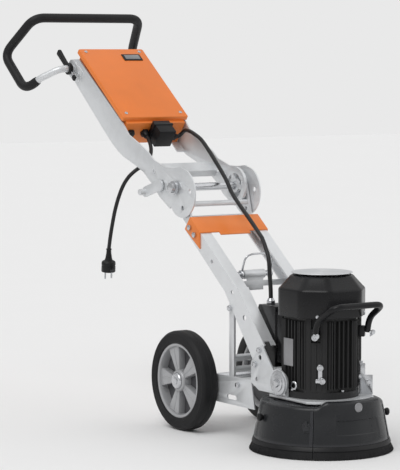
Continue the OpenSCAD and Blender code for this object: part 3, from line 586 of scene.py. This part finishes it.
def loft(b, rings, closed_ends=False):
    """Joins outlines, each given with its height, into one skin."""
    n = len(rings[0][1])
    verts = [(p[0], p[1], z) for z, ring in rings for p in ring]
    faces = [[i * n + q, i * n + (q + 1) % n, (i + 1) * n + (q + 1) % n, (i + 1) * n + q]
             for i in range(len(rings) - 1) for q in range(n)]
    if closed_ends:
        faces.append(list(range(n))[::-1])
        faces.append([(len(rings) - 1) * n + q for q in range(n)])
    b.add(verts, faces)


b = Build(HEAD_M)
outer = [(322.0, 96.2, 44.6), (322.8, 97, 45), (383, 97, 45), (386, 96.4, 44.7), (388.6, 94.6, 43.9),
         (391.4, 91.6, 42.8), (413, 72.6, 35.6), (415.6, 70.6, 34.8), (417.4, 68.2, 34), (418, 66, 33)]
inner = [(415, 64, 32), (389, 88, 41.5), (384, 92.6, 43.2), (322.0, 93.6, 43.6)]
rings = [(z, eight(w, h, 13)) for z, w, h in outer + inner]
loft(b, rings + [rings[0]])
cover = b.finish("fan_cover_shell", BLACK, "head", ["fan_cover"], 24)
b = Build(HEAD_M)
b.lathe([(62, 414), (66, 414), (66.6, 418.2), (20, 418.2), (20, 416), (60, 416)], 96)
b.lathe([(6, 417.5), (20, 417.5), (20, 422), (6, 422)], 32)
GRILLE_BARS = 24
for k in range(GRILLE_BARS):
    b.block(30, 62, -1.3, 1.3, 417.6, 420.2, 0.5, turn("Z", 360 / GRILLE_BARS * k), 2)
b.finish("fan_cover_grille", CAST, "head", ["fan_cover"], 30)
b = Build(HEAD_M)
b.spin([(0.01, 422), (71.2, 422), (72.6, 422.6), (73, 423.4), (72.7, 424.4), (71.6, 424.9), (70, 425),
        (60, 424.9), (0.01, 424.9)], 128)
cap = b.finish("fan_cover_cap", ZINC, "head", ["fan_cover"], 30)

LIFT = [(76, -79, 284), (76, -86, 318), (70, -148, 356), (-70, -148, 356), (-76, -86, 318), (-76, -79, 284)]
b = Build(HEAD_M)
b.tube(rounded(LIFT, [22, 26, 26, 22], 10), 7.5, 24)
FOOT_ANGLES = (-135, -45)
for a in FOOT_ANGLES:
    b.block(79, 104, -9, 9, 272, 298, 2.2, turn("Z", a))
lift = b.finish("lifting_handle_tube", BLACK, "head", ["lifting_handle"], 35)
b = Build(HEAD_M)
BOLT = [(7.6, 0), (7.6, 1.6), (6.8, 2.0), (5.2, 2.0), (5.2, 5.6), (4.4, 6.6), (2.8, 6.6), (2.4, 4.4),
        (0.01, 4.4)]
for a in FOOT_ANGLES:
    b.spin(BOLT, 28, turn("Z", a) @ move(116.4, 2 if a == -135 else -2, 280) @ turn("Y", 90))
    b.spin([(5, 0), (5, 1.2), (4, 3.2), (0.01, 3.6)], 24, turn("Z", a) @ move(100.2, 6, 327) @ turn("Y", 90))
b.finish("lifting_handle_bolts", STEEL, "head", ["head_bolts"], 30)

# a plain plate, two clamps, a folded tab and an eye, low on the motor
b = Build(HEAD_M)
b.block(-90.2, -88.2, -9, 29, 205, 270, 0.6, None, 2)
b.finish("blank_plate", LABEL, "head", ["motor_frame"], 35)
b = Build(HEAD_M)
for a in (-128, -34):
    A = turn("Z", a)
    b.block(87, 92, -5, 5, 176, 212, 1.2, A, 2)
    b.block(86, 95, -11, 11, 170, 180, 1.6, A, 2)
    b.spin(BOLT, 24, A @ move(92, 0, 206) @ turn("Y", 90))
    b.spin(BOLT, 24, A @ move(95, 5, 175) @ turn("Y", 90))
A = turn("Z", -36)
b.block(89.4, 122, -2, 2, 131, 178, 1.0, A, 2)
b.block(89.4, 104, -2, 2, 176, 206, 1.0, A, 2)
b.spin(BOLT, 24, A @ move(112, -2, 160) @ turn("X", 90))
b.lathe([(6.5, 0), (9.6, 0), (10.4, 0.8), (10.4, 2.2), (9.6, 3), (6.5, 3)], 40,
        turn("Z", -172) @ move(88.4, 0, 160) @ turn("Y", 90))
clamps = b.finish("motor_clamps", STEEL, "head", ["motor_frame"], 35)

# ---------- handlebar ----------
AXIS = slope(0, 1348, 101)      # the handlebar turns about this line
axis_y, axis_z = (AXIS.y - HEAD_Y) / MM, AXIS.z / MM
HALF_LENGTH, GRIP_R, HEAD_BACK = 690, 12.5, 517
BAR_R = 9.5
rear_y = HALF_LENGTH - GRIP_R + HEAD_BACK
H = [Vector(p) for p in ((103.7, axis_y, axis_z), (140, axis_y, axis_z), (178, axis_y + 38, 874),
                         (204, rear_y - 105, 841), (204, rear_y + 13, 937), (168, rear_y - 92, 1037))]
GRIP = H[2] + 0.2 * (H[3] - H[2])
for side in (-1, 1):
    flip = Matrix.Diagonal((side, 1, 1, 1))
    b = Build(HEAD_M)
    bare = rounded([H[0], H[1], H[2], GRIP + 0.1 * (H[3] - GRIP)], [20, 10], 12)
    b.tube(bare, BAR_R, 28, flip)
    b.spin([(6, -10), (6, 0.4), (15, 0.4), (15, 2.4), (13, 3.2), (9.5, 3.2)], 40,
           flip @ move(103.4, axis_y, axis_z) @ turn("Y", 90))
    ob = b.finish("handle_tube_" + ("left" if side < 0 else "right"), ZINC, "handlebar", ["handle_tube"], 35)
mirrored = [Vector((-p.x, p.y, p.z)) for p in H]
pts = [GRIP] + H[3:] + mirrored[:2:-1] + [Vector((-GRIP.x, GRIP.y, GRIP.z))]
path = rounded(pts, [34, 36, 34, 34, 36, 34], 14)
GRIP_STEP, END_ROUND, END_LENGTH = 6, 1.2, 5
dense = []
for p, q in zip(path, path[1:]):
    steps = max(1, int((q - p).length / GRIP_STEP))
    dense += [p + (q - p) * (k / steps) for k in range(steps)]
dense.append(path[-1])
total = length_of(dense)


def grip_radius(t):
    """The foam's radius at t, 0..1 along it; both ends are rounded."""
    return GRIP_R - END_ROUND * max(0.0, 1 - min(t, 1 - t) * total / END_LENGTH) ** 2


b = Build(HEAD_M)
b.tube(dense, GRIP_R, 32, radius=grip_radius)
grip = b.finish("handle_grip_foam", FOAM, "handlebar", ["handle_grip"], 40)

# ---------- the handlebar's clamp lever ----------
CLAMP = move(-118, axis_y, axis_z)
ARM = CLAMP @ turn("X", 40)
ON_SIDE = Matrix(((0, 0, 1, 0), (1, 0, 0, 0), (0, 1, 0, 0), (0, 0, 0, 1)))   # x to y, y to z, z to x
b = Build(HEAD_M)
b.lathe([(9.6, 0), (15, 0), (16, 1), (16, 9), (15, 10), (9.6, 10)], 40, CLAMP @ turn("Y", 90))
b.prism([(12, -7), (40, -7.5), (70, -9), (73, -6), (73, 6), (70, 9), (40, 7.5), (12, 7)], 0, 10,
        ARM @ ON_SIDE, 3.0, 3)
b.block(1, 9, -44, -30, -7, 7, 3.0, ARM)
lever = b.finish("clamp_lever_moulded", PLASTIC, "clamp", ["clamp_lever"], 40)
b = Build(HEAD_M)
b.block(3, 7, -34, -12, -5, 5, 1.2, ARM, 2)
b.spin([(9.6, -3), (9.6, 14), (8, 16), (0.01, 16)], 6,
       CLAMP @ move(-3, 0, 0) @ turn("Y", -90) @ move(0, 0, -12))
link = b.finish("clamp_lever_link", STEEL, "clamp", ["clamp_lever"], 40)

# ---------- locking pin's bail ----------
PIN_Y, PIN_Z, WIRE_R = 270, 397, 2.5
b = Build(HEAD_M)
b.tube(smooth_path([(-49, PIN_Y - 4, PIN_Z + 8), (-49, PIN_Y - 10, 422), (-46, PIN_Y - 15, 438),
                    (-36, PIN_Y - 17, 446), (-12, PIN_Y - 18, 449), (22, PIN_Y - 17, 446),
                    (33, PIN_Y - 15, 438), (36, PIN_Y - 10, 422), (36, PIN_Y - 4, PIN_Z + 8)], 8),
       WIRE_R, 16)
for x in (-52, 33):
    b.lathe([(7.1, 0), (10.2, 0), (11, 0.8), (11, 4.8), (10.2, 5.6), (7.1, 5.6)], 40,
            move(x, PIN_Y, PIN_Z) @ turn("Y", 90))
bail = b.finish("pin_bail_wire", STEEL, "bail", ["pin_bail"], 40)

# ---------- control box lid, screws, display ----------
LID_TOP = 163                   # above the slope's own line
LID_X, LID_LOW, LID_HIGH, LID_R = 101.5, 1060, 1356, 5
LID_MIDDLE = 1208
lid_outline = []
for cx, cy, a in ((LID_X - LID_R, LID_LOW + LID_R, -90), (LID_X - LID_R, LID_HIGH - LID_R, 0),
                  (-LID_X + LID_R, LID_HIGH - LID_R, 90), (-LID_X + LID_R, LID_LOW + LID_R, 180)):
    lid_outline += arc(cx, cy, LID_R, a, a + 90, 6)


def inset(outline, d):
    """The lid's outline, each point moved d towards the lid's middle both ways."""
    return [(x - d * (1 if x > 0 else -1), y - d * (1 if y > LID_MIDDLE else -1)) for x, y in outline]


b = Build(SLOPE_M)
loft(b, [(151.2, inset(lid_outline, 2.4)), (151.2, lid_outline), (160.2, lid_outline),
         (161.6, inset(lid_outline, 0.5)), (162.6, inset(lid_outline, 1.5)),
         (163.0, inset(lid_outline, 3.0))], closed_ends=True)
b.block(-89.4, 89.4, 1050.6, 1066, 148.6, 151.1, 0.6)
lid = b.finish("box_lid_pressed", ORANGE, "upper_frame", ["box_lid"], 28)
b = Build(SLOPE_M)
gap_outline = inset(lid_outline, 5)
loft(b, [(150.6, gap_outline), (151.3, gap_outline)], closed_ends=True)
b.finish("lid_gasket", PLASTIC, "upper_frame", ["box_lid"], 35)
b = Build(SLOPE_M)
for x in (-84, 84):
    for s in (1078, 1342):
        b.spin([(4.8, 0), (4.8, 0.9), (4.2, 1.7), (2.6, 2.0), (2.2, 1.0), (0.01, 1.0)], 28,
               move(x, s, LID_TOP))
b.finish("lid_screws_domed", STEEL, "upper_frame", ["lid_screws"], 30)
b = Build(SLOPE_M)
b.block(20, 78, 1303, 1330, LID_TOP - 0.5, LID_TOP + 1.8, 0.9)
b.finish("display_bezel", PLASTIC, "upper_frame", ["display"], 35)
b = Build(SLOPE_M)
b.block(26, 72, 1308, 1325, LID_TOP + 1.6, LID_TOP + 2.6, 0.4)
b.finish("display_glass", LCD, "upper_frame", ["display"], 35)

# ---------- shroud, front cover and brushes; an angle of -90 degrees is straight ahead ----------
OPEN = 43                       # half of the front opening, in degrees
AHEAD = -90
a0, a1 = AHEAD + OPEN, AHEAD + 360 - OPEN
SHROUD_PROFILE = [(157, 30), (161, 30), (161, 36.5), (160.6, 38.6), (146.6, 112), (145.6, 115.4),
                  (143.4, 118.2), (140.2, 119.8), (136, 120), (112, 120), (112, 116), (136, 116),
                  (140, 115), (142.2, 111), (156.6, 38)]
STRIP_PROFILE = [(161.2, 31), (162.4, 31), (162.4, 37), (148.2, 112), (146.8, 112), (160.8, 38)]
b = Build(HEAD_M)
b.lathe(SHROUD_PROFILE, 180, None, a0 + 0.05, a1 - 0.05)
b.lathe([(60.2, 116), (114, 116), (114, 120), (60.2, 120)], 96)
port = move(0, 0, 78) @ turn("X", -90)
b.lathe([(22, 150), (22, 204), (23, 204), (24.6, 203.4), (25, 202.4), (25, 169), (25.6, 168.2), (28, 168),
         (29, 167), (29, 150)], 64, port)
# a raised strip on each side of the front opening, and the latch beside the left one
for sign in (-1, 1):
    ang = AHEAD + sign * (OPEN + 1.6)
    b.lathe(STRIP_PROFILE, 4, None, ang - 1.3, ang + 1.3)
A = turn("Z", -139)
b.block(152, 158, -9, 9, 62, 84, 2.5, A, 3)
b.block(156, 161, -5, 7, 66, 76, 1.8, A, 3)
b.block(155, 160, -3, 3, 74, 90, 1.5, A, 3)
shroud = b.finish("shroud_moulded", SHELL, "shroud_body", ["shroud"], 28)

c0, c1 = AHEAD - OPEN + 0.35, AHEAD + OPEN - 0.35
COVER_STEPS = 72
SHELL_TOP, HUMP_RISE = 120, 12.8
HUMP_END, HUMP_SLOPE = 41, 11   # degrees from straight ahead where the hump ends, and its flank
RECESS, RECESS_END, RECESS_SLOPE = 1.6, 24, 1.5


def hump(angle):
    """0..1 height of the raised middle at this angle from straight ahead."""
    t = (HUMP_END - abs(angle)) / HUMP_SLOPE
    t = max(0.0, min(1.0, t))
    return t * t * (3 - 2 * t)


rows = []
for i in range(COVER_STEPS + 1):
    ang = c0 + (c1 - c0) * i / COVER_STEPS
    h = hump(ang - AHEAD)
    top = SHELL_TOP + HUMP_RISE * h
    rec = RECESS * max(0.0, min(1.0, (RECESS_END - abs(ang - AHEAD)) / RECESS_SLOPE))
    prof = [(157, 30), (161, 30), (161, 36.5), (160.6, 38.6), (157.4, 55 + 0.1 * h), (157.2 - rec, 57),
            (151.2 - rec, 88), (151.4, 90), (147.2 + 0.6 * h, 110), (146.0 + 0.8 * h, top - 5.5),
            (143.6 + 0.8 * h, top - 2), (140.2, top - 0.3), (136.5, top), (131 - 1.0 * h, top - 0.2),
            (127 - 1.0 * h, top - 2.2), (124.6, top - 6 * h - 0.4), (124.6, 120.1), (120.5, 120),
            (118, 120), (118, 116), (138, 116), (142.2, 111), (156.6, 38)]
    ca, sa = cos(radians(ang)), sin(radians(ang))
    rows.append([(r * ca, r * sa, z) for r, z in prof])
k = len(rows[0])
verts = [p for row in rows for p in row]
faces = [[i * k + q, (i + 1) * k + q, (i + 1) * k + (q + 1) % k, i * k + (q + 1) % k]
         for i in range(COVER_STEPS) for q in range(k)]
faces += [list(range(k)), [COVER_STEPS * k + q for q in range(k)][::-1]]
b = Build(HEAD_M)
b.add(verts, faces)
front = b.finish("front_cover_moulded", SHELL, "front_segment", ["front_cover"], 28)
b = Build(HEAD_M)
b.spin([(11, -2), (11, 0.6), (10.2, 1.4), (8.8, 1.6), (8.4, 1.0), (0.01, 1.0)], 48,
       move(0, -147.3, 118) @ turn("X", 88))
b.finish("front_blank_badge", LABEL, "front_segment", ["front_cover"], 30)


TUFT_TOP = 20.6                 # where the tufts leave their band, above the floor
TUFT_DEEP = 1.6
TUFT_ROWS = ((163.6, 172.8), (160.6, 169.4))    # each row's radius at its top and at the floor
SEED = 7


def brush(name, a_from, a_to, body, node, n):
    """The rubber band that holds the bristles, then two rows of n tufts down to the floor."""
    b = Build(HEAD_M)
    band = [(157, 29.6), (162.6, 29.6), (163.4, 28.6), (166.2, 20.6), (165.6, 19.6), (157.4, 19.6)]
    b.lathe(band, n // 6, None, a_from, a_to)
    ob = b.finish(name + "_band", PLASTIC, body, [node], 30)
    b = Build(HEAD_M)
    rng = random.Random(SEED)
    verts, faces = [], []
    for i in range(n):
        a = radians(a_from + (a_to - a_from) * (i + 0.5) / n)
        w = radians((a_to - a_from) / n * 0.42)     # half of a tuft's width
        low = 1.0 + 1.6 * rng.random()
        swell = rng.uniform(-1.0, 0.0)
        for layer, (r_top, r_low) in enumerate(TUFT_ROWS):
            q = len(verts)
            shift = w * (1 if layer else 0)
            for deep in (0, TUFT_DEEP):
                for ang, r, z in ((a - w + shift, r_top, TUFT_TOP), (a + w + shift, r_top, TUFT_TOP),
                                  (a + w + shift, r_low + swell, low), (a - w + shift, r_low + swell, low)):
                    verts.append(((r - deep) * cos(ang), (r - deep) * sin(ang), z))
            faces += [[q, q + 1, q + 2, q + 3], [q + 4, q + 7, q + 6, q + 5], [q, q + 3, q + 7, q + 4],
                      [q + 1, q + 5, q + 6, q + 2], [q + 3, q + 2, q + 6, q + 7], [q, q + 4, q + 5, q + 1]]
    b.add(verts, faces)
    ob = b.finish(name + "_bristles", BRISTLE, body, [node], 30, merge=False)


brush("skirt", a0 + 0.1, a1 - 0.1, "shroud_body", "brush_skirt", 900)
brush("front_skirt", c0, c1, "front_segment", "front_brush", 264)

# ---------- studio ----------
FLOOR_X, FLOOR_FRONT, FLOOR_BACK = 14, -12, 16
plane = bpy.data.meshes.new("floor")
plane.from_pydata([(-FLOOR_X, FLOOR_FRONT, 0), (FLOOR_X, FLOOR_FRONT, 0), (FLOOR_X, FLOOR_BACK, 0),
                   (-FLOOR_X, FLOOR_BACK, 0)], [], [(0, 1, 2, 3)])
floor = bpy.data.objects.new("floor", plane)
scene.collection.objects.link(floor)
plane.materials.append(FLOOR)

world = bpy.data.worlds.new("studio")
scene.world = world
world.use_nodes = True
wn, wl = world.node_tree.nodes, world.node_tree.links
BACKDROP, AMBIENT = 0.815, 0.48     # what the camera sees behind the object, and what lights it
lit = wn["Background"]
lit.inputs[0].default_value = (1, 1, 1, 1)
lit.inputs[1].default_value = AMBIENT
seen = wn.new("ShaderNodeBackground")
seen.inputs[0].default_value = (1, 1, 1, 1)
seen.inputs[1].default_value = BACKDROP
ray = wn.new("ShaderNodeLightPath")
pick = wn.new("ShaderNodeMixShader")
wl.new(ray.outputs["Is Camera Ray"], pick.inputs[0])
wl.new(lit.outputs[0], pick.inputs[1])
wl.new(seen.outputs[0], pick.inputs[2])
wl.new(pick.outputs[0], wn["World Output"].inputs[0])


def sun(name, towards, strength, spread):
    """A soft distant light; towards points from the object to it, and spread is its angle in degrees."""
    data = bpy.data.lights.new(name, "SUN")
    data.energy = strength
    data.angle = radians(spread)
    ob = bpy.data.objects.new(name, data)
    scene.collection.objects.link(ob)
    ob.rotation_euler = Vector(towards).to_track_quat("Z", "Y").to_euler()


sun("key", (-0.75, -0.35, 1.0), 1.15, 40)
sun("fill", (0.9, -0.7, 0.8), 0.45, 60)
sun("top", (0.1, 0.4, 1.0), 0.45, 80)
scene.view_settings.view_transform = "Standard"
